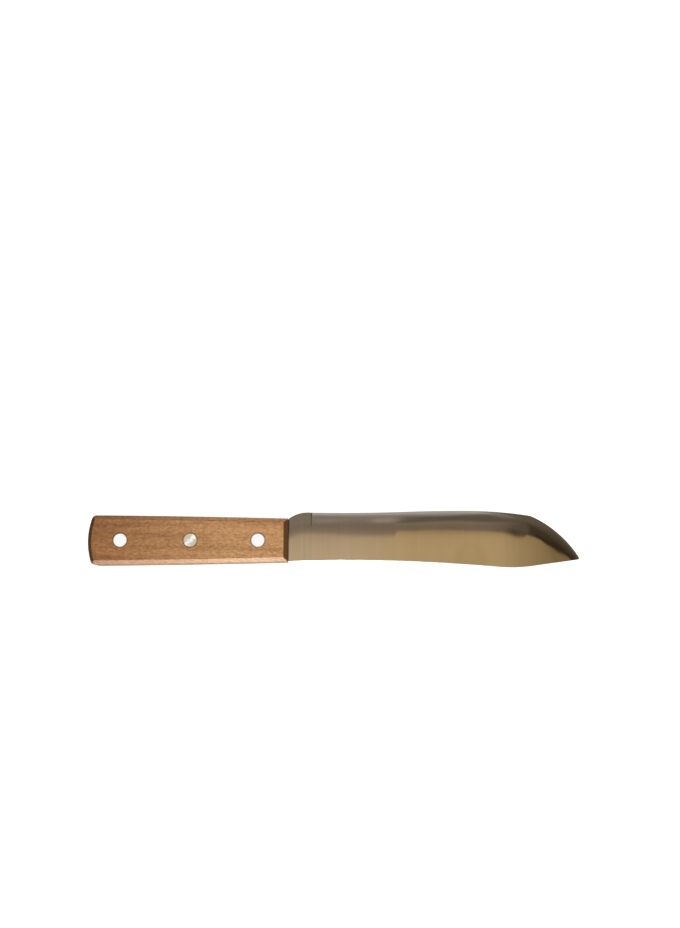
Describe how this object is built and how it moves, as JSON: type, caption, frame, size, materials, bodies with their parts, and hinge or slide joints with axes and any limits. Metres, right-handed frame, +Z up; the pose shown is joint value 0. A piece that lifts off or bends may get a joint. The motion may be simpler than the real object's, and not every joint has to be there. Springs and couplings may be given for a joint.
{
  "type": "uncapping knife",
  "caption": "Fixed-blade uncapping knife: curved butcher-pattern blade with a ground edge, full tang and chamfered wooden handle scales held by flush rivets.",
  "frame": {"origin": "bottom centre of the knife's bounding box as it lies flat on its right handle scale", "axes": "+X along the knife towards the tip, +Y towards the cutting edge, +Z up through the thickness, out of the left handle scale"},
  "size_m": [0.2994, 0.0348, 0.0185],
  "materials": {
    "blade_steel": "gloss",
    "handle_wood": "satin",
    "rivet_metal": "satin"
  },
  "bodies": {
    "root": {"blade": "blade_steel", "handle_scale_left": "handle_wood", "handle_scale_right": "handle_wood", "front_rivet_pin": "rivet_metal", "front_rivet_socket": "rivet_metal", "middle_rivet_pin": "rivet_metal", "middle_rivet_socket": "rivet_metal", "butt_rivet_pin": "rivet_metal", "butt_rivet_socket": "rivet_metal"}
  },
  "joints": []
}
